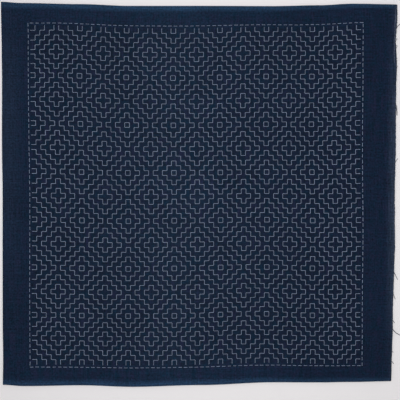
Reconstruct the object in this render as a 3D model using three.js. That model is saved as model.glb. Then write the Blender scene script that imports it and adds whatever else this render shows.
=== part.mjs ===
// Sashiko embroidered cloth: one length of dark cotton from a narrow loom, folded double and laid flat.
// The fold is at the left, the selvedges are at the far and near sides, and the cut ends are at the right.
// Millimetres. +X runs to the right, along the cut length. +Y runs across it, from selvedge to selvedge.
// +Z is up, and the origin is under the middle of the cloth, on the surface that it lies on.

import * as THREE from "three";
import { mergeVertices } from "three/addons/utils/BufferGeometryUtils.js";

// How thick one layer of the cloth is, and the air between the two layers.
const LAYER_THICKNESS = 1.0;
const LAYER_GAP = 0.4;

// How far the straight edges would lie from the origin, if the cloth lay perfectly square.
const FOLD_REACH = 176;
const CUT_END_REACH = 175;
const SELVEDGE_REACH = 170;

// The fold is half round: both layers bend over the same centre line.
const FOLD_INNER_RADIUS = LAYER_GAP / 2;
const FOLD_OUTER_RADIUS = FOLD_INNER_RADIUS + LAYER_THICKNESS;

// How finely the cloth is divided: along one layer, round the fold and across the width.
const LAYER_STEPS = 18;
const FOLD_STEPS = 6;
const ACROSS_STEPS = 18;
const LENGTH_STEPS = LAYER_STEPS + FOLD_STEPS + LAYER_STEPS;

// How far each selvedge strays outwards from its straight line, at places along X.
const SELVEDGE_SWAY = [
  { x: -176, far: 2.3, near: 0.5 },
  { x: -158, far: 1.2, near: 1.6 },
  { x: -107, far: 0.2, near: 0.9 },
  { x: -62, far: -1.4, near: 2.3 },
  { x: 0, far: -1.4, near: 0.7 },
  { x: 66, far: -1.6, near: -1.8 },
  { x: 108, far: -0.8, near: -1.7 },
  { x: 138, far: 0.6, near: -2.1 },
  { x: 176, far: 0.0, near: -2.8 },
];

// How far the fold and the two cut ends stray outwards from their straight lines, at places along Y.
// The lower layer's end shows past the upper one near the far selvedge, and lies hidden under it elsewhere.
const END_SWAY = [
  { y: -171, fold: -0.5, upper: -3.1, lower: -3.8 },
  { y: -150, fold: -0.8, upper: -2.7, lower: -3.4 },
  { y: -113, fold: -0.4, upper: -1.5, lower: -2.4 },
  { y: -60, fold: -0.3, upper: -0.2, lower: -1.2 },
  { y: 0, fold: -0.3, upper: 0.2, lower: -0.6 },
  { y: 48, fold: 0.3, upper: 1.1, lower: 0.2 },
  { y: 101, fold: 0.2, upper: 1.4, lower: 1.0 },
  { y: 128, fold: 0.5, upper: 0.6, lower: 1.5 },
  { y: 171, fold: 1.2, upper: 1.2, lower: 2.2 },
];

// Low swells where the upper layer holds a little air: the middle of each, its reach and its height.
const SWELLS = [
  { x: -92, y: 84, reachX: 74, reachY: 96, height: 0.7 },
  { x: 48, y: 112, reachX: 96, reachY: 52, height: 0.9 },
  { x: 104, y: -36, reachX: 58, reachY: 88, height: 0.6 },
  { x: -24, y: -72, reachX: 112, reachY: 62, height: 0.8 },
];

const INDIGO = 0x16233a;

// The value of one column of a table at a place between its rows, on a smooth curve through them.
function readColumn(rows, placeColumn, valueColumn, place) {
  const last = rows.length - 1;
  let row = 0;
  while (row < last - 1 && place > rows[row + 1][placeColumn]) {
    row += 1;
  }
  const low = rows[row][placeColumn];
  const high = rows[row + 1][placeColumn];
  const share = THREE.MathUtils.clamp((place - low) / (high - low), 0, 1);
  const eased = THREE.MathUtils.smoothstep(share, 0, 1);
  return THREE.MathUtils.lerp(rows[row][valueColumn], rows[row + 1][valueColumn], eased);
}

// How high the swells lift the upper layer at a place on the cloth.
function swellHeight(x, y) {
  return SWELLS.reduce((sum, swell) => {
    const away = Math.hypot((x - swell.x) / swell.reachX, (y - swell.y) / swell.reachY);
    return away < 1 ? sum + swell.height * Math.cos((away * Math.PI) / 2) ** 2 : sum;
  }, 0);
}

// The straight place across the cloth, moved to where the two swaying selvedges put it.
function placeAcross(x, across) {
  const near = -SELVEDGE_REACH - readColumn(SELVEDGE_SWAY, "x", "near", x);
  const far = SELVEDGE_REACH + readColumn(SELVEDGE_SWAY, "x", "far", x);
  return THREE.MathUtils.lerp(near, far, across);
}

// Where a point of the flat cut length lies once the cloth is folded.
// along and across run from 0 to 1 over the cut length and the loom width.
// through runs from 0 at the wrong side to 1 at the right side, which ends up outside the fold.
function layPoint(along, across, through) {
  const step = along * LENGTH_STEPS;
  const straightY = THREE.MathUtils.lerp(-SELVEDGE_REACH, SELVEDGE_REACH, across);
  const foldEdge = -FOLD_REACH - readColumn(END_SWAY, "y", "fold", straightY);
  const bendX = foldEdge + FOLD_OUTER_RADIUS;
  const radius = FOLD_INNER_RADIUS + through * LAYER_THICKNESS;

  if (step <= LAYER_STEPS) {
    const cutEnd = CUT_END_REACH + readColumn(END_SWAY, "y", "lower", straightY);
    const x = THREE.MathUtils.lerp(cutEnd, bendX, step / LAYER_STEPS);
    return [x, placeAcross(x, across), FOLD_OUTER_RADIUS - radius];
  }
  if (step >= LAYER_STEPS + FOLD_STEPS) {
    const cutEnd = CUT_END_REACH + readColumn(END_SWAY, "y", "upper", straightY);
    const share = (step - LAYER_STEPS - FOLD_STEPS) / LAYER_STEPS;
    const x = THREE.MathUtils.lerp(bendX, cutEnd, share);
    const y = placeAcross(x, across);
    return [x, y, FOLD_OUTER_RADIUS + radius + swellHeight(x, y)];
  }
  const turn = (Math.PI * (step - LAYER_STEPS)) / FOLD_STEPS;
  const x = bendX - radius * Math.sin(turn);
  return [x, placeAcross(x, across), FOLD_OUTER_RADIUS - radius * Math.cos(turn)];
}

// The folded cloth, laid from a flat sheet of unit size.
function foldedCloth() {
  const flat = new THREE.BoxGeometry(1, 1, 1, LENGTH_STEPS, ACROSS_STEPS, 1);
  flat.deleteAttribute("normal");
  flat.deleteAttribute("uv");
  const sheet = mergeVertices(flat);
  const points = sheet.getAttribute("position");
  for (let i = 0; i < points.count; i += 1) {
    const laid = layPoint(points.getX(i) + 0.5, points.getY(i) + 0.5, points.getZ(i) + 0.5);
    points.setXYZ(i, ...laid);
  }
  sheet.computeVertexNormals();
  return sheet;
}

const cotton = new THREE.MeshStandardMaterial({ color: INDIGO, roughness: 0.92, metalness: 0 });

const cloth = new THREE.Mesh(foldedCloth(), cotton);
cloth.name = "cloth";

const embroideredCloth = new THREE.Group();
embroideredCloth.add(cloth);

export default embroideredCloth;
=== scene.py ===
"""Looks of a sashiko embroidered cloth: indigo cotton folded double, laid flat and stitched on top.

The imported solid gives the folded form. This script lays a thin woven sheet over the same folds, sews
the one-stitch pattern and its dashed frame on the upper layer, frays the raw edge, and sets the light
and the camera. Metres. +X runs from the fold to the cut ends, +Y across the loom width, and +Z up out
of the stitched side.
"""

import logging
import math
from dataclasses import dataclass, field
from enum import Enum
from typing import NamedTuple, Sequence

import bmesh
import bpy
import numpy as np
from mathutils import Matrix, Vector


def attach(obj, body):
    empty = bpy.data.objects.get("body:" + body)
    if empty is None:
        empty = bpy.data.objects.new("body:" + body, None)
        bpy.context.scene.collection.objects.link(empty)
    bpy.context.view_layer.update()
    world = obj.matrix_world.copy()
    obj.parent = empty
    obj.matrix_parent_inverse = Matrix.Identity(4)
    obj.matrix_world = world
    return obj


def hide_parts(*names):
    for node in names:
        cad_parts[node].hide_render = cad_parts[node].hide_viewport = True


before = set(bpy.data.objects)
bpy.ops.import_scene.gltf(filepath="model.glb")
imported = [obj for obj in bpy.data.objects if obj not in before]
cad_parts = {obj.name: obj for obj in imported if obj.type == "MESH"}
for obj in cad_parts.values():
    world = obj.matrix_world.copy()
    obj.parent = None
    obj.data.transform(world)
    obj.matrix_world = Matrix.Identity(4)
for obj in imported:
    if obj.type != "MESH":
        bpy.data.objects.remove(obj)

MM = 0.001
BODY = "root"
CLOTH_NODE = "cloth"

# The cut length as it lay flat before it was folded: loom width by length.
FLAT_SIZE = (0.340, 0.704)

log = logging.getLogger("sashiko")


class SelvedgeRow(NamedTuple):
    """How far the two selvedges stray outwards at a place along X, in millimetres."""

    x: float
    far: float
    near: float


class EndRow(NamedTuple):
    """How far the fold and the two cut ends stray outwards at a place along Y, in millimetres."""

    y: float
    fold: float
    upper: float
    lower: float


class Swell(NamedTuple):
    """A low swell of the upper layer: its middle, its reach and its height, in millimetres."""

    x: float
    y: float
    reach_x: float
    reach_y: float
    height: float


class EdgeReach(NamedTuple):
    """How far a cut edge, or its loose ends, stands out at a row of the stitch grid, in millimetres."""

    row: float
    out: float


class LayRow(NamedTuple):
    """How far one line of the stitch grid is moved at the table's columns, in millimetres."""

    line: float
    moves: tuple[float, ...]


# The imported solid's own outline and swells, so that the sheet lies on its folds.
SELVEDGES = (
    SelvedgeRow(x=-176, far=2.3, near=0.5),
    SelvedgeRow(x=-158, far=1.2, near=1.6),
    SelvedgeRow(x=-107, far=0.2, near=0.9),
    SelvedgeRow(x=-62, far=-1.4, near=2.3),
    SelvedgeRow(x=0, far=-1.4, near=0.7),
    SelvedgeRow(x=66, far=-1.6, near=-1.8),
    SelvedgeRow(x=108, far=-0.8, near=-1.7),
    SelvedgeRow(x=138, far=0.6, near=-2.1),
    SelvedgeRow(x=176, far=0.0, near=-2.8),
)

ENDS = (
    EndRow(y=-171, fold=-0.5, upper=-3.1, lower=-3.8),
    EndRow(y=-150, fold=-0.8, upper=-2.7, lower=-3.4),
    EndRow(y=-113, fold=-0.4, upper=-1.5, lower=-2.4),
    EndRow(y=-60, fold=-0.3, upper=-0.2, lower=-1.2),
    EndRow(y=0, fold=-0.3, upper=0.2, lower=-0.6),
    EndRow(y=48, fold=0.3, upper=1.1, lower=0.2),
    EndRow(y=101, fold=0.2, upper=1.4, lower=1.0),
    EndRow(y=128, fold=0.5, upper=0.6, lower=1.5),
    EndRow(y=171, fold=1.2, upper=1.2, lower=2.2),
)

SWELLS = (
    Swell(x=-92, y=84, reach_x=74, reach_y=96, height=0.7),
    Swell(x=48, y=112, reach_x=96, reach_y=52, height=0.9),
    Swell(x=104, y=-36, reach_x=58, reach_y=88, height=0.6),
    Swell(x=-24, y=-72, reach_x=112, reach_y=62, height=0.8),
)

# How far the scissors and the fraying left the cut edges outside their smooth lines.
CUT_WANDER = (
    EdgeReach(row=-4, out=0.25),
    EdgeReach(row=-1, out=0.5),
    EdgeReach(row=3, out=-0.25),
    EdgeReach(row=9, out=1.0),
    EdgeReach(row=12, out=0.0),
    EdgeReach(row=36, out=0.0),
    EdgeReach(row=46, out=0.5),
    EdgeReach(row=52, out=-0.25),
    EdgeReach(row=64, out=0.0),
    EdgeReach(row=68, out=0.25),
    EdgeReach(row=74, out=0.0),
)

# How far the rows of the stitch grid dip towards the near selvedge, at columns of the grid.
DIP_COLUMNS = (0, 8, 16, 33, 49, 61, 70)
DIPS = (
    LayRow(line=1, moves=(0.25, 0.25, 2.0, 3.0, 1.5, 1.5, -0.25)),
    LayRow(line=11, moves=(-0.25, 0.0, 1.25, 2.25, 1.0, 1.0, -0.25)),
    LayRow(line=26, moves=(-0.25, 0.25, 1.25, 1.5, 0.75, 0.75, -0.25)),
    LayRow(line=47, moves=(0.25, 1.0, 1.75, 1.25, 0.25, 1.25, 1.0)),
    LayRow(line=60, moves=(0.0, 0.5, 1.0, 0.75, -1.0, 0.5, 0.0)),
    LayRow(line=70, moves=(-0.75, -0.5, 0.0, -0.25, -2.0, -1.25, -1.25)),
)

# How far the columns of the stitch grid drift towards the cut ends, at columns of the grid.
DRIFT_COLUMNS = (3, 35, 50, 70)
DRIFTS = (
    LayRow(line=3, moves=(0.0, 0.75, 0.75, 0.0)),
    LayRow(line=12, moves=(0.0, 0.5, 0.5, -0.25)),
    LayRow(line=22, moves=(0.75, 0.75, 0.5, -0.75)),
    LayRow(line=32, moves=(1.5, 1.25, 1.0, -0.5)),
    LayRow(line=41, moves=(1.75, 1.5, 1.25, 0.0)),
    LayRow(line=55, moves=(1.5, 1.5, 1.0, -0.5)),
    LayRow(line=68, moves=(1.75, 1.5, 1.0, -0.5)),
)


def sway(table: Sequence[SelvedgeRow | EndRow], edge: str, at: np.ndarray) -> np.ndarray:
    """Reads how far an edge strays outwards, with a smooth step between rows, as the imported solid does.

    Args:
        table: the rows, in rising order of their place.
        edge: the column to read.
        at: places along the edge, in metres.

    Returns:
        The sway at each place, in metres.
    """
    knots = np.array([row[0] * MM for row in table])
    rows = np.array([getattr(row, edge) * MM for row in table])
    low = np.clip(np.searchsorted(knots, at) - 1, 0, len(knots) - 2)
    share = np.clip((at - knots[low]) / (knots[low + 1] - knots[low]), 0, 1)
    share = share * share * (3 - 2 * share)
    return rows[low] * (1 - share) + rows[low + 1] * share


def curve_through(places: Sequence[float], values: Sequence, at: np.ndarray) -> np.ndarray:
    """Reads a smooth curve through the rows of a table.

    Args:
        places: where the table's rows are, in rising order.
        values: for each row one number, or one number for each place to read.
        at: the places to read.

    Returns:
        The value at each place.
    """
    knots = np.asarray(places, float)
    rows = np.stack([np.broadcast_to(np.asarray(row, float), at.shape) for row in values])
    slopes = np.gradient(rows, knots, axis=0)
    low = np.clip(np.searchsorted(knots, at) - 1, 0, len(knots) - 2)
    each = np.arange(len(at))
    width = knots[low + 1] - knots[low]
    share = (at - knots[low]) / width
    rise = share * share * (3 - 2 * share)
    return (
        rows[low, each] * (1 - rise)
        + rows[low + 1, each] * rise
        + slopes[low, each] * width * share * (1 - share) ** 2
        - slopes[low + 1, each] * width * share * share * (1 - share)
    )


def edge_reach(table: Sequence[EdgeReach], row: np.ndarray) -> np.ndarray:
    """How far a table's edge stands out at rows of the stitch grid, in metres."""
    return np.interp(row, [place.row for place in table], [place.out * MM for place in table])


# The node trees.


class Value:
    """A number in a node tree, which Python's own operators work on."""

    def __init__(self, nodes: "NodeWork", socket: bpy.types.NodeSocket) -> None:
        """Keeps the socket and the tree that new nodes go into."""
        self.nodes = nodes
        self.socket = socket

    def _math(self, operation: str, *others: "Value | float") -> "Value":
        """Adds a Math node that works on this value and the others."""
        node = self.nodes.add("ShaderNodeMath", {"operation": operation}, dict(enumerate((self, *others))))
        return Value(self.nodes, node.outputs[0])

    def __add__(self, other: "Value | float") -> "Value":
        """This value plus another."""
        return self._math("ADD", other)

    __radd__ = __add__

    def __sub__(self, other: "Value | float") -> "Value":
        """This value less another."""
        return self._math("SUBTRACT", other)

    def __rsub__(self, other: float) -> "Value":
        """A number less this value."""
        return (self * -1) + other

    def __mul__(self, other: "Value | float") -> "Value":
        """This value times another."""
        return self._math("MULTIPLY", other)

    __rmul__ = __mul__

    def __truediv__(self, other: "Value | float") -> "Value":
        """This value divided by another."""
        return self._math("DIVIDE", other)

    def size(self) -> "Value":
        """This value without its sign."""
        return self._math("ABSOLUTE")

    def sine(self) -> "Value":
        """The sine of this value, in radians."""
        return self._math("SINE")

    def step(self, low: float, high: float) -> "Value":
        """A smooth step from 0 at low to 1 at high.

        Args:
            low: the value where the step starts.
            high: the value where it ends, which may be the smaller one.

        Returns:
            The step's value, from 0 to 1.
        """
        if low > high:
            return 1 - self.step(high, low)
        node = self.nodes.add(
            "ShaderNodeMapRange",
            {"interpolation_type": "SMOOTHSTEP"},
            {"Value": self, "From Min": low, "From Max": high},
        )
        return Value(self.nodes, node.outputs["Result"])


class NodeWork:
    """A material's node tree, with short ways to add what this scene's finishes use."""

    def __init__(self, name: str) -> None:
        """Starts a material that holds one Principled shader."""
        self.material = bpy.data.materials.new(name)
        self.material.use_nodes = True
        self.tree = self.material.node_tree
        self.shader = self.tree.nodes["Principled BSDF"]

    def add(self, kind: str, settings: dict | None = None, inputs: dict | None = None) -> bpy.types.Node:
        """Adds one node, sets it up and fills its sockets.

        Args:
            kind: the node's type.
            settings: the node's own settings by name, set before its sockets.
            inputs: numbers, colours, values or sockets, by the name or place of the node's input.

        Returns:
            The new node.
        """
        node = self.tree.nodes.new(kind)
        for name, setting in (settings or {}).items():
            setattr(node, name, setting)
        for name, given in (inputs or {}).items():
            self.plug(node.inputs[name], given)
        return node

    def plug(
        self, socket: bpy.types.NodeSocket, given: "Value | bpy.types.NodeSocket | float | tuple"
    ) -> None:
        """Sets a socket to a number or colour, or links it.

        Args:
            socket: the input socket.
            given: what it takes.
        """
        if isinstance(given, Value):
            given = given.socket
        if isinstance(given, bpy.types.NodeSocket):
            self.tree.links.new(given, socket)
        else:
            socket.default_value = given

    def attribute(self, name: str) -> tuple[Value, Value, Value]:
        """The three numbers of a piece's own attribute."""
        return self.split(self.add("ShaderNodeAttribute", {"attribute_name": name}).outputs["Vector"])

    def own_place(self) -> bpy.types.NodeSocket:
        """A point's place in the piece's own coordinates."""
        return self.add("ShaderNodeTexCoord").outputs["Object"]

    def split(self, vector: bpy.types.NodeSocket) -> tuple[Value, Value, Value]:
        """The three numbers of a vector."""
        node = self.add("ShaderNodeSeparateXYZ", inputs={0: vector})
        return tuple(Value(self, socket) for socket in node.outputs)

    def patches(self, per_metre: float, detail: float) -> Value:
        """Soft patches over the piece's own coordinates, from 0 to 1.

        Args:
            per_metre: about how many patches there are in a metre.
            detail: how many finer octaves they have.

        Returns:
            The patches.
        """
        inputs = {"Vector": self.own_place(), "Scale": per_metre, "Detail": detail}
        return Value(self, self.add("ShaderNodeTexNoise", inputs=inputs).outputs["Fac"])

    def noise(self, along: Value, across: Value, detail: float = 2.0, seed: float = 0.0) -> Value:
        """Soft noise over two values, from 0 to 1 about a mean of one half.

        Args:
            along: the first place, in steps of the noise.
            across: the second place, in steps of the noise.
            detail: how many finer octaves it has.
            seed: the third place, which picks another noise.

        Returns:
            The noise.
        """
        place = self.add("ShaderNodeCombineXYZ", inputs={0: along, 1: across, 2: seed})
        node = self.add(
            "ShaderNodeTexNoise",
            {"noise_dimensions": "3D"},
            {"Vector": place.outputs[0], "Scale": 1.0, "Detail": detail},
        )
        return Value(self, node.outputs["Fac"])

    def mix(
        self,
        share: "Value | float",
        first: "bpy.types.NodeSocket | tuple",
        second: "bpy.types.NodeSocket | tuple",
    ) -> bpy.types.NodeSocket:
        """Mixes two colours.

        Args:
            share: how much of the second colour, from 0 to 1.
            first: the first colour.
            second: the second colour.

        Returns:
            The mixed colour.
        """
        node = self.add(
            "ShaderNodeMix",
            {"data_type": "RGBA"},
            {"Factor": share, 6: first, 7: second},
        )
        return node.outputs[2]

    def tone(self, colour: bpy.types.NodeSocket, brightness: Value) -> bpy.types.NodeSocket:
        """A colour made darker or lighter all over.

        Args:
            colour: the colour.
            brightness: 1 leaves it as it is.

        Returns:
            The new colour.
        """
        node = self.add("ShaderNodeVectorMath", {"operation": "SCALE"}, {0: colour, "Scale": brightness})
        return node.outputs[0]

    def bump(self, height: Value, distance: float) -> None:
        """Feeds a height into the shader's normal.

        Args:
            height: from 0 to 1.
            distance: how far 1 stands above 0, in metres.
        """
        node = self.add("ShaderNodeBump", inputs={"Height": height, "Distance": distance, "Strength": 1.0})
        self.plug(self.shader.inputs["Normal"], node.outputs[0])

    def settle(self, colour: bpy.types.NodeSocket, **constants: float) -> bpy.types.Material:
        """Gives the shader its colour and the numbers that are the same all over.

        Args:
            colour: the base colour.
            **constants: the shader's sockets by name, with _ for a space.

        Returns:
            The finished material.
        """
        self.plug(self.shader.inputs["Base Color"], colour)
        for name, number in constants.items():
            self.shader.inputs[name.replace("_", " ")].default_value = number
        return self.material


# The attributes that the finishes read: a point's place on the flat cloth, and its place along a thread.
FLAT_PLACE = "flat_place"
THREAD_PLACE = "thread_place"


@dataclass(frozen=True)
class IndigoCotton:
    """Matt plain weave from a narrow loom: dark indigo, slubby, bluer at its selvedges and lighter along
    its fold.

    Its dye is uneven in patches that lean to purple or teal. Light and shade are painted on it too: a broad
    pool of light across its middle, a highlight along the fold, shade between the stitches, and light on
    the rounded selvedges, whose denser weave is bluer as well.
    """

    ground: tuple = (0.0044, 0.0109, 0.0283, 1)
    purple: tuple = (0.0070, 0.0103, 0.0283, 1)
    teal: tuple = (0.0024, 0.0122, 0.0283, 1)
    # Partly the bluer, denser selvedge weave and partly painted light on the rounded selvedges.
    near_selvedge_and_light: tuple = (0.0104, 0.0283, 0.0620, 1)
    far_selvedge_and_light: tuple = (0.0118, 0.0340, 0.0720, 1)
    # Painted light: the greyer tint that the broad pool of light across the cloth takes.
    thin: tuple = (0.0085, 0.0170, 0.0210, 1)
    # Painted highlight along the fold, where its rounding catches the light.
    fold_highlight: tuple = (0.0088, 0.0172, 0.0370, 1)
    frayed: tuple = (0.0360, 0.0520, 0.0880, 1)
    # Painted shade between the stitches.
    field_shade: tuple = (0.0041, 0.0087, 0.0208, 1)
    thread_pitch: float = 0.52 * MM
    weave_depth: float = 0.10 * MM
    slub_width: float = 0.8 * MM
    slub_length: float = 24 * MM
    grain: float = 1.6 * MM
    patch: float = 6 * MM
    cloud: float = 40 * MM
    selvedge_width: float = 6.2 * MM
    fold_reach: float = 24 * MM
    fray_reach: float = 9.5 * MM
    cut_thread_reach: float = 2.5 * MM
    stitched_along: tuple = (26 * MM, 322 * MM)
    stitched_across: tuple = (17 * MM, 321 * MM)
    # Where the painted pool of light grows and fades, with its lighter strips towards the upper cut end and
    # along the near selvedge.
    broad_light_pool_grows: tuple = (-80 * MM, 110 * MM)
    broad_light_pool_fades: tuple = (300 * MM, 180 * MM)
    narrow_light_pool_grows: tuple = (105 * MM, 150 * MM)
    narrow_light_pool_fades: tuple = (200 * MM, 150 * MM)
    cut_half: tuple = (180 * MM, 330 * MM)
    near_margin: tuple = (48 * MM, 4 * MM)
    near_margin_fades: tuple = (310 * MM, 190 * MM)
    far_margin: tuple = (310 * MM, 330 * MM)
    selvedge_narrows: tuple = (230 * MM, 270 * MM)
    selvedge_narrowing: float = 0.7 * MM
    # Where across the cloth the painted fold highlight shows.
    fold_highlight_grows: tuple = (-10 * MM, 260 * MM)
    fold_highlight_fades: tuple = (380 * MM, 250 * MM)
    handling_grows: tuple = (10 * MM, 120 * MM)
    handling_fades: tuple = (320 * MM, 220 * MM)

    def material(self) -> bpy.types.Material:
        """The woven finish, which follows the flat cloth's own threads.

        Returns:
            The material.
        """
        work = NodeWork("indigo_cotton")
        along, across, _ = work.attribute(FLAT_PLACE)
        half_length = FLAT_SIZE[1] / 2
        half_width = FLAT_SIZE[0] / 2

        weft = work.noise(along / self.slub_width, across / self.slub_length) - 0.5
        warp = work.noise(along / self.slub_length, across / self.slub_width, seed=3.0) - 0.5
        grain = work.noise(along / self.grain, across / self.grain, seed=5.0) - 0.5
        cloudy = work.noise(along / self.cloud, across / self.cloud, detail=3.0, seed=7.0) - 0.5
        weave = self.weave(along, across)
        # Painted light: a broad pool of light across the cloth's middle, with lighter strips towards the
        # upper cut end and along the near selvedge, brightens the whole colour below.
        broad_light_pool = along.step(*self.broad_light_pool_grows) * along.step(*self.broad_light_pool_fades)
        narrow_light_pool = along.step(*self.narrow_light_pool_grows) * along.step(*self.narrow_light_pool_fades)
        light_pool = broad_light_pool * 0.16 + narrow_light_pool * 0.12 + along.step(*self.cut_half) * 0.03
        light_pool = light_pool + across.step(*self.near_margin) * along.step(*self.near_margin_fades) * 0.12
        tone = 1.05 + weft * 1.1 + warp * 1.1 + grain * 1.9 + cloudy * 0.4 + (weave - 0.5) * 0.4

        to_selvedge = half_width - (across - half_width).size()
        to_selvedge = to_selvedge + along.step(*self.selvedge_narrows) * self.selvedge_narrowing
        to_cut = half_length - along.size()
        # The selvedge bands are partly the denser, bluer selvedge weave and partly painted light where the
        # rounded edges catch it.
        selvedge = to_selvedge.step(self.selvedge_width, 0.16 * self.selvedge_width)
        selvedge = selvedge + across.step(*self.far_margin) * 0.04
        # Painted highlight along the fold, where its rounding catches the light, fading out towards the
        # near selvedge.
        fold_highlight_rows = across.step(*self.fold_highlight_grows) * across.step(*self.fold_highlight_fades)
        fold = along.size().step(self.fold_reach, 0.1 * self.fold_reach) * fold_highlight_rows
        handled = across.step(*self.handling_grows) * across.step(*self.handling_fades)
        fray = to_cut.step(self.fray_reach, 0.0) * (0.1 + handled * 0.36)
        fray = fray + to_cut.step(self.cut_thread_reach, 0.0) * 0.5
        # Painted shade: the cloth between the stitches is darkened as though its puckers lay in shade.
        stitched = self.between(along, self.stitched_along) * self.between(across, self.stitched_across)

        leaning = work.noise(along / self.patch, across / self.patch, seed=9.0) + weft
        # Painted shade between the stitches.
        colour = work.mix(stitched * 0.65, self.ground, self.field_shade)
        # Painted light: the pool of light takes a greyer tint.
        colour = work.mix(broad_light_pool * 0.09 + narrow_light_pool * 0.08, colour, self.thin)
        colour = work.mix(leaning.step(0.5, 0.75), colour, self.purple)
        colour = work.mix(leaning.step(0.5, 0.25), colour, self.teal)
        far_half = across.step(half_width - MM, half_width + MM)
        # Partly selvedge weave and partly painted light on the rounded selvedges.
        colour = work.mix(selvedge, colour, work.mix(far_half, self.near_selvedge_and_light, self.far_selvedge_and_light))
        # Painted highlight along the fold.
        colour = work.mix(fold, colour, self.fold_highlight)
        colour = work.mix(fray * (1 + weft * 1.5), colour, self.frayed)
        work.bump(weave * 0.8 + weft * 0.4 + warp * 0.3, self.weave_depth)
        # The tone carries the painted pool of light as well as the dye's own streaks.
        return work.settle(
            work.tone(colour, tone * (1 + light_pool)),
            Roughness=0.85,
            Specular_IOR_Level=0.08,
            Sheen_Weight=0.04,
            Sheen_Roughness=0.4,
        )

    def between(self, place: Value, limits: tuple[float, float]) -> Value:
        """Where a place is within two limits.

        Args:
            place: the place along or across the cloth.
            limits: the two limits, in metres.

        Returns:
            From 0 outside to 1 inside.
        """
        first, last = limits
        return place.step(first - MM, first + MM) * place.step(last + MM, last - MM)

    def weave(self, along: Value, across: Value) -> Value:
        """The over and under of a plain weave.

        Args:
            along: the place along the warp.
            across: the place along the weft.

        Returns:
            A height from 0 to 1.
        """
        turn = math.pi / self.thread_pitch
        return (along * turn).sine() * (across * turn).sine() * 0.5 + 0.5


@dataclass(frozen=True)
class EmbroideryYarn:
    """Soft twisted cotton yarn, pale blue grey, each stitch a little lighter or darker than the next.

    Towards the fold and the cut ends the yarn is painted a little lighter, painted light that offsets the
    lamps' fall-off from the middle.
    """

    pale: tuple = (0.279, 0.338, 0.464, 1)
    shaded: tuple = (0.158, 0.189, 0.270, 1)
    twist_length: float = 1.3 * MM
    ply_depth: float = 0.08 * MM
    # Painted light: where the yarn starts and stops being lightened towards the fold and the cut ends.
    side_light_start: float = 70 * MM
    side_light_reach: float = 150 * MM
    middle_tone: float = 0.98
    side_light_gain: float = 0.14

    def material(self) -> bpy.types.Material:
        """The yarn's finish, which follows the yarn.

        Returns:
            The material.
        """
        work = NodeWork("pale_yarn")
        along, around, shade = work.attribute(THREAD_PLACE)
        twist = (along * (2 * math.pi / self.twist_length) + around * 2).sine() * 0.5 + 0.5
        # The twist's grooves take the shaded colour, which is painted shade between the plies; each
        # stitch's own share is random tone.
        colour = work.mix(twist * 0.6 + shade * 0.4, self.shaded, self.pale)
        # Painted light: the yarn is lighter towards the fold and the cut ends, to offset the lamps'
        # fall-off from the middle.
        x = work.split(work.own_place())[0]
        side_light = x.size().step(self.side_light_start, self.side_light_reach)
        colour = work.tone(colour, side_light * self.side_light_gain + self.middle_tone)
        work.bump(twist, self.ply_depth)
        return work.settle(colour, Roughness=0.8, Specular_IOR_Level=0.15, Sheen_Weight=0.1)


@dataclass(frozen=True)
class FrayedYarn:
    """Single yarns, loose at the cut edge: greyer than the weave, and pale where the dye is thin."""

    name: str = "frayed_yarn"
    grey: tuple = (0.020, 0.032, 0.052, 1)
    pale: tuple = (0.070, 0.078, 0.110, 1)
    patches_per_metre: float = 900.0
    patch_depth: float = 0.05 * MM

    def material(self) -> bpy.types.Material:
        """The loose yarn's finish.

        Returns:
            The material.
        """
        work = NodeWork(self.name)
        spread = work.patches(self.patches_per_metre, detail=2.0).step(0.35, 0.65)
        work.bump(spread, self.patch_depth)
        return work.settle(work.mix(spread, self.grey, self.pale), Roughness=0.9, Specular_IOR_Level=0.1)


RUBBED_WEFT = FrayedYarn("rubbed_weft", grey=(0.055, 0.072, 0.115, 1), pale=(0.155, 0.170, 0.245, 1))


@dataclass(frozen=True)
class PaleTable:
    """The plain pale surface that the cloth lies on."""

    light: tuple = (0.812, 0.791, 0.800, 1)
    dull: tuple = (0.782, 0.761, 0.775, 1)
    patches_per_metre: float = 60.0

    def material(self) -> bpy.types.Material:
        """The table's finish.

        Returns:
            The material.
        """
        work = NodeWork("pale_table")
        colour = work.mix(work.patches(self.patches_per_metre, detail=3.0), self.light, self.dull)
        return work.settle(colour, Roughness=0.7, Specular_IOR_Level=0.2)


# The cloth and how it lies.


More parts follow.
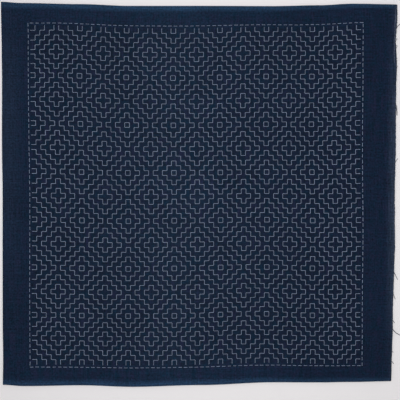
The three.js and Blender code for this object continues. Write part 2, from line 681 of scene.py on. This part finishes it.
@dataclass
class ClothLay:
    """How the folded cloth lies, in the columns and rows of its stitch grid.

    Columns count from the pattern's left edge towards the cut ends, and rows from its far edge towards
    the near selvedge, one for each stitch. Fractions and places outside the pattern are on the cloth too.
    """

    units: int = 71
    column_step: float = 4.163 * MM
    row_step: float = 4.283 * MM
    first_column_x: float = -150.8 * MM
    first_row_y: float = 151.26 * MM
    fold_reach: float = 176 * MM
    cut_reach: float = 175 * MM
    selvedge_reach: float = 170 * MM
    fold_radius: float = 0.98 * MM
    fold_proud: float = 0.35 * MM
    pucker_depth: float = 0.10 * MM
    wave_reach: float = 16 * MM
    long_wave: tuple = (0.22, 0.61)
    short_wave: tuple = (0.12, 1.47)
    edge_sink: float = 0.25

    @property
    def fold_column(self) -> float:
        """The column where the upper layer starts to bend over the fold."""
        bend_x = self.fold_radius - self.fold_proud - self.fold_reach
        return (bend_x - self.first_column_x) / self.column_step

    @property
    def cut_column(self) -> float:
        """The column of the straight cut end."""
        return (self.cut_reach - self.first_column_x) / self.column_step

    @property
    def far_row(self) -> float:
        """The row of the straight far selvedge."""
        return (self.first_row_y - self.selvedge_reach) / self.row_step

    @property
    def near_row(self) -> float:
        """The row of the straight near selvedge."""
        return (self.first_row_y + self.selvedge_reach) / self.row_step

    @property
    def layer_length(self) -> float:
        """The flat length of one layer, from its bend to its cut end."""
        return (self.cut_column - self.fold_column) * self.column_step

    @property
    def bend_length(self) -> float:
        """Half the length of cloth that goes round the fold."""
        return self.fold_radius * math.pi / 2

    def even_x(self, column: np.ndarray) -> np.ndarray:
        """Where a column would be if the cloth lay square."""
        return self.first_column_x + column * self.column_step

    def even_y(self, row: np.ndarray) -> np.ndarray:
        """Where a row would be if the cloth lay square."""
        return self.first_row_y - row * self.row_step

    def end_sway(self, edge: str, row: np.ndarray) -> np.ndarray:
        """How far the fold or a cut end strays outwards at rows of the grid, in metres."""
        return sway(ENDS, edge, self.even_y(row))

    def dip(self, column: np.ndarray, row: np.ndarray) -> np.ndarray:
        """How far the cloth lies nearer than square, towards the near selvedge.

        Args:
            column: columns of the points.
            row: rows of the points.

        Returns:
            The dip at each point, in metres.
        """
        far, near = (sway(SELVEDGES, edge, self.even_x(column)) for edge in ("far", "near"))
        within = np.clip(column, -1, self.units + 1)
        lines = [curve_through(DIP_COLUMNS, np.array(line.moves) * MM, within) for line in DIPS]
        knots = [self.far_row, *(line.line for line in DIPS), self.near_row]
        return curve_through(knots, [-far, *lines, near], row)

    def drift(self, column: np.ndarray, row: np.ndarray) -> np.ndarray:
        """How far the upper layer lies nearer to the cut ends than square.

        Args:
            column: columns of the points.
            row: rows of the points.

        Returns:
            The drift at each point, in metres.
        """
        knots = [line.line for line in DRIFTS]
        moves = np.array([line.moves for line in DRIFTS]) * MM
        within = np.clip(row, -1, self.units + 1)
        lines = [curve_through(knots, moves[:, place], within) for place in range(len(DRIFT_COLUMNS))]
        ends = [-self.end_sway("fold", row), *lines, self.end_sway("upper", row)]
        return curve_through([self.fold_column, *DRIFT_COLUMNS, self.cut_column], ends, column)

    def swell(self, x: np.ndarray, y: np.ndarray) -> np.ndarray:
        """How high the air under the upper layer lifts it.

        Args:
            x: places along X.
            y: places along Y.

        Returns:
            The lift at each place, in metres.
        """
        lift = np.zeros_like(x)
        for swell in SWELLS:
            away = np.hypot((x / MM - swell.x) / swell.reach_x, (y / MM - swell.y) / swell.reach_y)
            lift += swell.height * MM * np.cos(np.minimum(away, 1) * math.pi / 2) ** 2
        return lift

    def pucker(self, column: np.ndarray, row: np.ndarray) -> np.ndarray:
        """How far the yarn pulls the cloth down at the holes that the stitches share.

        Args:
            column: columns of the points.
            row: rows of the points.

        Returns:
            The depth at each point, below zero, in metres.
        """
        inside = (column > 0.2) & (column < self.units - 0.2) & (row > 0.2) & (row < self.units - 0.2)
        hole = (np.cos(math.pi * column) * np.cos(math.pi * row)) ** 2
        return -self.pucker_depth * hole * inside

    def edge_wave(self, column: np.ndarray, row: np.ndarray) -> np.ndarray:
        """How the cut edge of the upper layer lifts and sinks along its length.

        Args:
            column: columns of the points.
            row: rows of the points.

        Returns:
            The lift at each point, in metres.
        """
        to_cut = (self.cut_column - column) * self.column_step
        near_edge = np.clip(1 - to_cut / self.wave_reach, 0, 1) ** 2
        long_height, long_turn = self.long_wave
        short_height, short_turn = self.short_wave
        wave = long_height * np.sin(row * long_turn) + short_height * np.sin(row * short_turn + 1)
        return (wave - self.edge_sink) * MM * near_edge

    def upper(self, column: np.ndarray, row: np.ndarray) -> np.ndarray:
        """The right side of the upper layer, which faces up.

        Args:
            column: columns of the points.
            row: rows of the points.

        Returns:
            The points, in metres.
        """
        x = self.even_x(column) + self.drift(column, row)
        y = self.even_y(row) - self.dip(column, row)
        z = 2 * self.fold_radius + self.swell(x, y)
        z = z + self.pucker(column, row) + self.edge_wave(column, row)
        return np.stack([x, y, z], axis=-1)

    def lower(self, column: np.ndarray, row: np.ndarray) -> np.ndarray:
        """The right side of the lower layer, which lies face down on the table.

        Args:
            column: columns of the points, counted as on the upper layer.
            row: rows of the points.

        Returns:
            The points, in metres.
        """
        share = (column - self.fold_column) / (self.cut_column - self.fold_column)
        drift = self.end_sway("lower", row) * share - self.end_sway("fold", row) * (1 - share)
        x = self.even_x(column) + drift
        return np.stack([x, self.even_y(row) - self.dip(column, row), np.zeros_like(x)], axis=-1)

    def bend(self, turn: np.ndarray, row: np.ndarray) -> np.ndarray:
        """The right side of the cloth on its way round the fold.

        Args:
            turn: how far round, in radians from the lower layer.
            row: rows of the points.

        Returns:
            The points, in metres.
        """
        start = self.upper(np.full_like(turn, self.fold_column), row)
        out = self.fold_radius * np.stack([-np.sin(turn), np.zeros_like(turn), -1 - np.cos(turn)], axis=-1)
        return start + out


@dataclass
class FoldedCloth:
    """The cotton itself: one thin closed sheet, laid along the lower layer, round the fold and back."""

    lay: ClothLay
    finish: IndigoCotton = field(default_factory=IndigoCotton)
    thickness: float = 0.55 * MM
    lower_steps: int = 56
    fold_steps: int = 10
    cut_unevenness: float = 0.12 * MM
    seed: int = 11

    def along_stations(self) -> np.ndarray:
        """The flat places of the sheet's lines of points along its length, with the fold at zero.

        Returns:
            The places in metres, from the lower layer's cut end to the upper layer's.
        """
        lay = self.lay
        bend = lay.bend_length
        lower = np.linspace(-lay.layer_length - bend, -bend, self.lower_steps + 1)
        fold = np.linspace(-bend, bend, self.fold_steps + 1)[1:-1]
        first = math.ceil(lay.fold_column * 2) / 2
        last = math.floor(lay.cut_column * 2) / 2
        halves = np.arange(first, last - 0.25, 0.5)
        columns = np.array([lay.fold_column, *halves, lay.cut_column])
        return np.concatenate([lower, fold, bend + (columns - lay.fold_column) * lay.column_step])

    def across_stations(self) -> np.ndarray:
        """The rows of the sheet's lines of points across its width.

        Returns:
            The rows, from the near selvedge to the far one.
        """
        lay = self.lay
        first = math.floor(lay.near_row * 2) / 2 - 0.5
        last = math.ceil(lay.far_row * 2) / 2 + 0.5
        return np.array([lay.near_row, *np.arange(first, last - 0.25, -0.5), lay.far_row])

    def fold_over(self, along: np.ndarray, row: np.ndarray) -> np.ndarray:
        """Where points of the flat cloth lie once it is folded.

        Args:
            along: places along the flat length, with the fold at zero.
            row: rows of the points.

        Returns:
            The points, in metres.
        """
        lay = self.lay
        bend = lay.bend_length
        column = lay.fold_column + np.maximum(np.abs(along) - bend, 0) / lay.column_step
        places = lay.bend(math.pi / 2 * (1 + np.clip(along / bend, -1, 1)), row)
        over = along >= bend
        under = along <= -bend
        places[over] = lay.upper(column[over], row[over])
        places[under] = lay.lower(column[under], row[under])
        return places

    def build(self) -> bpy.types.Object:
        """Lays the sheet, thickens it inwards and dresses it.

        Returns:
            The cloth.
        """
        along = self.along_stations()
        across = self.across_stations()
        sheet = bmesh.new()
        bmesh.ops.create_grid(sheet, x_segments=len(along) - 1, y_segments=len(across) - 1, size=0.5)
        unit = np.array([vertex.co for vertex in sheet.verts])
        step_along = np.rint((unit[:, 0] + 0.5) * (len(along) - 1)).astype(int)
        step_across = np.rint((unit[:, 1] + 0.5) * (len(across) - 1)).astype(int)
        places = self.fold_over(along[step_along], across[step_across])
        places[:, 0] += self.uneven_cut(step_along, step_across, len(along), len(across))

        flat_layer = sheet.verts.layers.float_vector.new(FLAT_PLACE)
        flat_across = (self.lay.near_row - across[step_across]) * self.lay.row_step
        for vertex, place, flat_x, flat_y in zip(sheet.verts, places, along[step_along], flat_across):
            vertex.co = place
            vertex[flat_layer] = (flat_x, flat_y, 0)
        sheet.normal_update()
        bmesh.ops.solidify(sheet, geom=sheet.faces[:], thickness=self.thickness)
        for face in sheet.faces:
            face.smooth = True
        data = bpy.data.meshes.new("woven_cloth")
        sheet.to_mesh(data)
        sheet.free()
        return put_mesh(data, self.finish.material())

    def uneven_cut(self, along: np.ndarray, across: np.ndarray, lines: int, rows: int) -> np.ndarray:
        """How far the scissors wandered at the two cut ends.

        Args:
            along: each point's line of points along the length.
            across: each point's line of points across the width.
            lines: how many lines there are along the length.
            rows: how many there are across the width.

        Returns:
            Each point's move along X, in metres.
        """
        random = np.random.default_rng(self.seed)
        scissors = random.normal(0, self.cut_unevenness, (2, rows))
        wander = scissors + edge_reach(CUT_WANDER, self.across_stations())
        moves = np.zeros(len(along))
        moves[along == 0] = wander[0, across[along == 0]]
        moves[along == lines - 1] = wander[1, across[along == lines - 1]]
        return moves


def put_mesh(data: bpy.types.Mesh, material: bpy.types.Material) -> bpy.types.Object:
    """Makes a finished mesh a piece of the object, which rides on its one body.

    Args:
        data: the mesh, which gives the piece its name.
        material: its finish.

    Returns:
        The piece.
    """
    data.materials.append(material)
    piece = bpy.data.objects.new(data.name, data)
    bpy.context.scene.collection.objects.link(piece)
    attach(piece, BODY)
    triangles = sum(len(face.vertices) - 2 for face in data.polygons)
    log.info("%s: %d triangles", piece.name, triangles)
    return piece


# The needlework.


@dataclass(frozen=True)
class StitchForm:
    """The plump little form of one stitch: a short length of yarn that dives into the cloth at both ends.

    The first and last rings lie at the holes and sink into the cloth, so that two stitches that share a
    hole meet in it.
    """

    sides: int = 6
    places: tuple = (0.0, 0.1, 0.36, 0.64, 0.9, 1.0)
    widths: tuple = (0.95, 1.15, 0.92, 0.92, 1.15, 0.95)
    rises: tuple = (-0.45, 0.15, 0.5, 0.5, 0.15, -0.45)

    def build(self) -> tuple[np.ndarray, np.ndarray, list[list[int]]]:
        """Makes the form once, as arrays that every stitch copies.

        Returns:
            Each point's ring, its place in the yarn's section as two shares of the yarn's width and height,
            and the faces as lists of points.
        """
        form = bmesh.new()
        bmesh.ops.create_cone(form, cap_ends=True, segments=self.sides, radius1=0.5, radius2=0.5, depth=1)
        lengthwise = [edge for edge in form.edges if abs(edge.verts[0].co.z - edge.verts[1].co.z) > 0.5]
        bmesh.ops.subdivide_edges(form, edges=lengthwise, cuts=len(self.places) - 2, use_grid_fill=True)
        bmesh.ops.rotate(form, verts=form.verts, matrix=Matrix.Rotation(math.pi / 2, 3, "Y"))
        form.verts.index_update()
        points = np.array([vertex.co for vertex in form.verts])
        faces = [[vertex.index for vertex in face.verts] for face in form.faces]
        form.free()
        ring = np.rint((points[:, 0] + 0.5) * (len(self.places) - 1)).astype(int)
        return ring, points[:, 1:], faces


@dataclass
class Needlework:
    """Stitches sewn on the upper layer, joined into one mesh."""

    lay: ClothLay
    finish: bpy.types.Material
    form: StitchForm = field(default_factory=StitchForm)
    width: float = 0.40 * MM
    height: float = 0.34 * MM
    plumpness: float = 0.05
    unevenness: float = 0.05 * MM
    seed: int = 5

    def sew(self, name: str, starts: np.ndarray, ends: np.ndarray) -> bpy.types.Object:
        """Sews one stitch from each start to each end.

        Args:
            name: the piece's name.
            starts: columns and rows where the stitches come up.
            ends: columns and rows where they go down.

        Returns:
            The stitches as one piece.
        """
        random = np.random.default_rng(self.seed)
        count = len(starts)
        ring, section, faces = self.form.build()
        share = np.array(self.form.places)[ring]
        grid = starts[:, None, :] + (ends - starts)[:, None, :] * share[None, :, None]
        centre = self.lay.upper(grid[..., 0].ravel(), grid[..., 1].ravel()).reshape(count, len(ring), 3)

        first = self.lay.upper(starts[:, 0], starts[:, 1])
        last = self.lay.upper(ends[:, 0], ends[:, 1])
        along = last[:, :2] - first[:, :2]
        length = np.hypot(along[:, 0], along[:, 1])
        side = np.stack([-along[:, 1], along[:, 0]], axis=-1) / length[:, None]
        plump = random.normal(1, self.plumpness, (count, 1)) * np.array(self.form.widths)[ring]
        astray = random.normal(0, self.unevenness, (count, 1)) + np.zeros(len(ring))
        across = section[:, 0] * plump * self.width + astray
        points = centre.copy()
        points[..., :2] += side[:, None, :] * across[..., None]
        rise = np.array(self.form.rises)[ring] * self.height
        points[..., 2] += section[:, 1] * plump * self.height + rise

        data = self.joined(name, points, faces)
        around = np.broadcast_to(np.arctan2(section[:, 1], section[:, 0]), (count, len(ring)))
        run = share * length[:, None] + random.uniform(0, 1, (count, 1)) * 10 * MM
        shade = np.broadcast_to(random.uniform(0, 1, (count, 1)), (count, len(ring)))
        marks = data.attributes.new(THREAD_PLACE, "FLOAT_VECTOR", "POINT")
        marks.data.foreach_set("vector", np.stack([run, around, shade], axis=-1).astype(np.float32).ravel())
        return put_mesh(data, self.finish)

    def joined(self, name: str, points: np.ndarray, faces: list[list[int]]) -> bpy.types.Mesh:
        """Joins copies of one form into a mesh.

        Args:
            name: the mesh's name.
            points: the points of every copy.
            faces: the faces of one copy.

        Returns:
            The mesh, with smooth faces.
        """
        count, each = points.shape[:2]
        every_face = [[corner + copy * each for corner in face] for copy in range(count) for face in faces]
        data = bpy.data.meshes.new(name)
        data.from_pydata(points.reshape(-1, 3), [], every_face)
        data.polygons.foreach_set("use_smooth", np.ones(len(every_face), bool))
        return data


class Direction(Enum):
    """Which way a line of stitches runs, by its piece's name."""

    ROWS = "row_stitches"
    COLUMNS = "column_stitches"


@dataclass
class StitchGrid:
    """The one-stitch pattern: every line is a running stitch, whose first unit is a stitch or a gap.

    That start repeats over five lines: 0 where the first unit is a stitch, and 1 where it is a gap.
    """

    work: Needlework
    first_units: tuple = (0, 1, 0, 1, 0)

    def line_units(self, line: int) -> np.ndarray:
        """The units of a line that carry a stitch on the right side."""
        return np.arange(self.first_units[(line - 1) % len(self.first_units)], self.work.lay.units, 2)

    def build(self, direction: Direction) -> bpy.types.Object:
        """Sews all lines that run one way.

        Args:
            direction: which lines.

        Returns:
            The stitches as one piece.
        """
        units = self.work.lay.units
        places = [(unit, line) for line in range(1, units) for unit in self.line_units(line)]
        starts = np.array(places, float)
        ends = starts + (1, 0)
        order = [0, 1] if direction is Direction.ROWS else [1, 0]
        return self.work.sew(direction.value, starts[:, order], ends[:, order])


class Border(NamedTuple):
    """One side of the dashed frame, in units of the grid: its line, and where it starts and ends."""

    along_row: bool
    line: float
    first: float
    last: float


class Side(Enum):
    """The four sides of the frame."""

    FAR = Border(along_row=True, line=-0.45, first=-0.1, last=71.5)
    RIGHT = Border(along_row=False, line=71.45, first=-0.2, last=71.5)
    NEAR = Border(along_row=True, line=71.45, first=-0.5, last=71.1)
    FOLD = Border(along_row=False, line=-0.45, first=-0.5, last=71.1)


@dataclass
class DashedFrame:
    """The running stitch round the pattern, about half a unit outside it."""

    work: Needlework
    dashes: int = 61
    dash_length: float = 0.76
    unevenness: float = 0.03
    seed: int = 31

    def build(self) -> bpy.types.Object:
        """Sews the four sides.

        Returns:
            The frame as one piece.
        """
        random = np.random.default_rng(self.seed)
        starts, ends = [], []
        for side in Side:
            border = side.value
            begins = np.linspace(border.first, border.last - self.dash_length, self.dashes)
            holes = np.stack([begins, begins + self.dash_length], axis=-1)
            holes += random.normal(0, self.unevenness, holes.shape)
            line = np.full_like(holes, border.line)
            places = np.stack([holes, line] if border.along_row else [line, holes], axis=-1)
            starts.append(places[:, 0])
            ends.append(places[:, 1])
        return self.work.sew("frame_stitches", np.concatenate(starts), np.concatenate(ends))


# The raw cut edge.


class LooseThread(NamedTuple):
    """A yarn that has worked loose: its start, what it bends towards, its end and its radius, in mm."""

    start: tuple[float, float]
    bend: tuple[float, float]
    end: tuple[float, float]
    radius: float


LOOSE_THREADS = (
    LooseThread(start=(175.6, 146.2), bend=(177.4, 152.4), end=(184.0, 154.2), radius=0.25),
    LooseThread(start=(175.4, 81.6), bend=(179.2, 76.0), end=(175.6, 68.6), radius=0.16),
    LooseThread(start=(175.2, 80.4), bend=(178.4, 74.6), end=(176.2, 69.4), radius=0.16),
    LooseThread(start=(175.4, 79.4), bend=(177.8, 76.4), end=(178.0, 70.6), radius=0.14),
    LooseThread(start=(174.8, 26.8), bend=(176.4, 29.6), end=(178.3, 32.2), radius=0.19),
    LooseThread(start=(174.0, -69.0), bend=(176.3, -72.8), end=(178.0, -76.4), radius=0.23),
    LooseThread(start=(173.2, -88.6), bend=(174.8, -91.0), end=(175.9, -94.0), radius=0.22),
    LooseThread(start=(172.4, -111.8), bend=(174.2, -113.4), end=(175.3, -115.5), radius=0.22),
    LooseThread(start=(172.4, -119.6), bend=(176.2, -125.8), end=(184.0, -127.4), radius=0.28),
    LooseThread(start=(171.4, -140.8), bend=(172.8, -141.0), end=(174.1, -141.6), radius=0.2),
    LooseThread(start=(170.8, -147.4), bend=(172.8, -149.4), end=(174.5, -152.1), radius=0.22),
)


# How far the lower layer's cut warp stands out past its edge.
FRINGE = (
    EdgeReach(row=-4.0, out=0.3),
    EdgeReach(row=-3.2, out=0.45),
    EdgeReach(row=-1.0, out=0.45),
    EdgeReach(row=0.6, out=0.4),
    EdgeReach(row=2.2, out=0.3),
    EdgeReach(row=2.8, out=0.2),
    EdgeReach(row=3.1, out=1.5),
    EdgeReach(row=3.5, out=0.1),
    EdgeReach(row=4.2, out=0.1),
    EdgeReach(row=4.5, out=1.4),
    EdgeReach(row=5.0, out=0.1),
    EdgeReach(row=6.8, out=0.3),
    EdgeReach(row=8.5, out=0.6),
    EdgeReach(row=9.8, out=0.2),
    EdgeReach(row=10.8, out=0.9),
    EdgeReach(row=11.3, out=0.1),
    EdgeReach(row=21.0, out=0.1),
    EdgeReach(row=21.5, out=0.9),
    EdgeReach(row=22.0, out=0.1),
    EdgeReach(row=75.0, out=0.1),
)


class LoosenedWeft(NamedTuple):
    """A weft yarn that the warp no longer holds: its first and last row, and its inset in millimetres."""

    first: float
    last: float
    inset: float


LOOSENED_WEFT = (
    LoosenedWeft(first=-3.2, last=-0.6, inset=0.2),
    LoosenedWeft(first=-0.9, last=3.6, inset=0.6),
    LoosenedWeft(first=3.0, last=8.5, inset=1.0),
)


@dataclass
class FrayedEdge:
    """The raw cut edge: short warp ends, weft yarns about to come away, and a few long loose threads."""

    lay: ClothLay
    finish: bpy.types.Material
    weft_finish: bpy.types.Material
    yarn_radius: float = 0.13 * MM
    tuft_pitch: float = 0.55 * MM
    short_reach: float = 0.08 * MM
    cloth_thickness: float = 0.55 * MM
    root_depth: float = 0.5 * MM
    evenness: float = 6.0
    swing_spread: float = 0.25
    drop_range: tuple = (-0.3, 0.15)
    weft_lift: float = 0.14 * MM
    fall_shares: tuple = (0, 0.25, 0.6, 1)
    fall_levels: tuple = (1.9, 1.7, 0.3, 0.15)
    seed: int = 23

    def build(self) -> list[bpy.types.Object]:
        """Makes all that has come loose.

        Returns:
            The pieces.
        """
        return [self.warp_ends(), self.loosened_weft(), self.loose_threads()]

    def warp_ends(self) -> bpy.types.Object:
        """The short ends of the cut warp, which stand out of both layers' edges.

        Returns:
            The ends as one piece.
        """
        random = np.random.default_rng(self.seed)
        pitch = self.tuft_pitch / self.lay.row_step
        rows = np.arange(self.lay.far_row + 0.1, self.lay.near_row - 0.1, pitch)
        paths = []
        fringe = edge_reach(FRINGE, rows)
        short = np.full(len(rows), self.short_reach)
        for layer, middle, mean in ((self.lay.upper, -0.5, short), (self.lay.lower, 0.5, fringe)):
            row = rows + random.uniform(-0.06, 0.06, len(rows))
            edge = layer(np.full(len(row), self.lay.cut_column), row)
            wander = edge_reach(CUT_WANDER, row)
            edge += np.column_stack([wander, 0 * row, 0 * row + middle * self.cloth_thickness])
            reach = random.gamma(self.evenness, 1 / self.evenness, len(row)) * mean
            swing = random.normal(0, self.swing_spread, len(row)) * reach
            drop = random.uniform(*self.drop_range, len(row)) * reach
            for root, out, aside, down in zip(edge, reach, swing, drop):
                inside = root - Vector((self.root_depth, 0, 0))
                halfway = root + Vector((out * 0.5, aside * 0.3, 0))
                tip = root + Vector((out, aside, down))
                tip[2] = max(tip[2], self.yarn_radius)
                paths.append([inside, halfway, tip])
        return self.spin("cut_warp_ends", paths, [self.yarn_radius] * len(paths), self.finish)

    def loosened_weft(self) -> bpy.types.Object:
        """Weft yarns that lie on the upper edge, no longer held by the warp.

        Returns:
            The yarns as one piece.
        """
        random = np.random.default_rng(self.seed + 1)
        paths = []
        for yarn in LOOSENED_WEFT:
            row = np.arange(yarn.first, yarn.last, 0.5)
            points = self.lay.upper(np.full(len(row), self.lay.cut_column), row)
            points[:, 0] -= yarn.inset * MM + random.normal(0, 0.12 * MM, len(row))
            points[:, 2] += self.weft_lift + random.normal(0, 0.04 * MM, len(row))
            paths.append(points)
        return self.spin("loosened_weft", paths, [1.7 * self.yarn_radius] * len(paths), self.weft_finish)

    def loose_threads(self) -> bpy.types.Object:
        """The longer threads, which hang over the edge and lie on the table.

        Returns:
            The threads as one piece.
        """
        paths = []
        for thread in LOOSE_THREADS:
            share = np.linspace(0, 1, 9)[:, None]
            start, bend, end = (np.array(place) * MM for place in thread[:3])
            flat = start * (1 - share) ** 2 + 2 * bend * share * (1 - share) + end * share**2
            level = np.interp(share[:, 0], self.fall_shares, self.fall_levels) * MM
            paths.append(np.column_stack([flat, np.maximum(level, thread.radius * MM)]))
        radii = [thread.radius * MM for thread in LOOSE_THREADS]
        return self.spin("loose_threads", paths, radii, self.finish)

    def spin(
        self, name: str, paths: Sequence, radii: Sequence[float], finish: bpy.types.Material
    ) -> bpy.types.Object:
        """Makes round yarns along paths.

        Args:
            name: the piece's name.
            paths: the points of each yarn.
            radii: the radius of each yarn.
            finish: the yarns' finish.

        Returns:
            The yarns as one mesh piece.
        """
        curve = bpy.data.curves.new(name, "CURVE")
        curve.dimensions = "3D"
        curve.bevel_depth = 1
        curve.bevel_resolution = 0
        curve.use_fill_caps = True
        for path, radius in zip(paths, radii):
            spline = curve.splines.new("POLY")
            spline.points.add(len(path) - 1)
            for knot, place in zip(spline.points, path):
                knot.co = (*place, 1)
                knot.radius = radius
        holder = bpy.data.objects.new(name, curve)
        bpy.context.scene.collection.objects.link(holder)
        seen = holder.evaluated_get(bpy.context.evaluated_depsgraph_get())
        data = bpy.data.meshes.new_from_object(seen)
        bpy.data.objects.remove(holder)
        bpy.data.curves.remove(curve)
        data.name = name
        data.polygons.foreach_set("use_smooth", np.ones(len(data.polygons), bool))
        return put_mesh(data, finish)


# The table, the light and the camera.


@dataclass
class Setting:
    """The pale table, the soft light and the camera straight above."""

    floor_size: float = 8.0
    floor_gap: float = 0.05 * MM
    camera_place: tuple = (0.8 * MM, -5.1 * MM, 0.847)
    lens: float = 85.0
    sensor: float = 36.0
    world_strength: float = 0.45
    lamp_place: tuple = (-0.5, 0.35, 2.4)
    lamp_size: float = 1.6
    lamp_power: float = 18.0
    glow_place: tuple = (0.025, 0.02, 1.5)
    glow_cone: float = math.radians(26.6)
    glow_size: float = 0.3
    glow_power: float = 59.0

    def build(self) -> None:
        """Sets the table, the two lamps, the world's light and the camera."""
        self.floor()
        self.wide_lamp()
        self.glow()
        self.world()
        self.camera()

    def floor(self) -> None:
        """Lays the table under the cloth."""
        sheet = bmesh.new()
        bmesh.ops.create_grid(sheet, x_segments=1, y_segments=1, size=self.floor_size / 2)
        bmesh.ops.translate(sheet, verts=sheet.verts, vec=(0, 0, -self.floor_gap))
        data = bpy.data.meshes.new("floor")
        sheet.to_mesh(data)
        sheet.free()
        data.materials.append(PaleTable().material())
        floor = bpy.data.objects.new("floor", data)
        bpy.context.scene.collection.objects.link(floor)

    def wide_lamp(self) -> None:
        """Hangs one large soft lamp over the cloth's left half."""
        light = bpy.data.lights.new("wide_lamp", "AREA")
        light.shape = "DISK"
        light.size = self.lamp_size
        self.hang(light, self.lamp_power, self.lamp_place, (0, 0, 0))

    def glow(self) -> None:
        """Hangs a lamp whose light is brightest at the cloth's middle and fades towards its corners."""
        light = bpy.data.lights.new("glow", "SPOT")
        light.spot_size = self.glow_cone
        light.spot_blend = 1.0
        light.shadow_soft_size = self.glow_size
        self.hang(light, self.glow_power, self.glow_place, (*self.glow_place[:2], 0))

    def hang(self, light: bpy.types.Light, power: float, place: tuple, aim: tuple) -> None:
        """Hangs a lamp.

        Args:
            light: the lamp's light.
            power: its power in watts.
            place: where it hangs.
            aim: the place that it shines at.
        """
        light.energy = power
        lamp = bpy.data.objects.new(light.name, light)
        lamp.location = place
        lamp.rotation_mode = "QUATERNION"
        lamp.rotation_quaternion = (Vector(aim) - Vector(place)).to_track_quat("-Z", "Y")
        bpy.context.scene.collection.objects.link(lamp)

    def world(self) -> None:
        """Fills the shadows with even light from all round."""
        world = bpy.data.worlds.new("studio")
        world.use_nodes = True
        background = world.node_tree.nodes["Background"]
        background.inputs["Color"].default_value = (1, 1, 1, 1)
        background.inputs["Strength"].default_value = self.world_strength
        bpy.context.scene.world = world
        bpy.context.scene.view_settings.view_transform = "Standard"

    def camera(self) -> None:
        """Hangs the camera straight above, at the photograph's distance."""
        lens = bpy.data.cameras.new("camera")
        lens.lens = self.lens
        lens.sensor_width = self.sensor
        camera = bpy.data.objects.new("camera", lens)
        camera.location = self.camera_place
        bpy.context.scene.collection.objects.link(camera)
        bpy.context.scene.camera = camera


def main() -> None:
    logging.basicConfig(level=logging.INFO, format="%(message)s")
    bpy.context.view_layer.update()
    lay = ClothLay()

    cloth = FoldedCloth(lay).build()
    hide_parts(CLOTH_NODE)

    yarn = EmbroideryYarn().material()
    grid = StitchGrid(Needlework(lay, yarn))
    stitches = [grid.build(direction) for direction in Direction]
    stitches.append(DashedFrame(Needlework(lay, yarn, seed=9)).build())
    frayed = FrayedEdge(lay, FrayedYarn().material(), RUBBED_WEFT.material()).build()

    Setting().build()


if __name__ == "__main__":
    main()
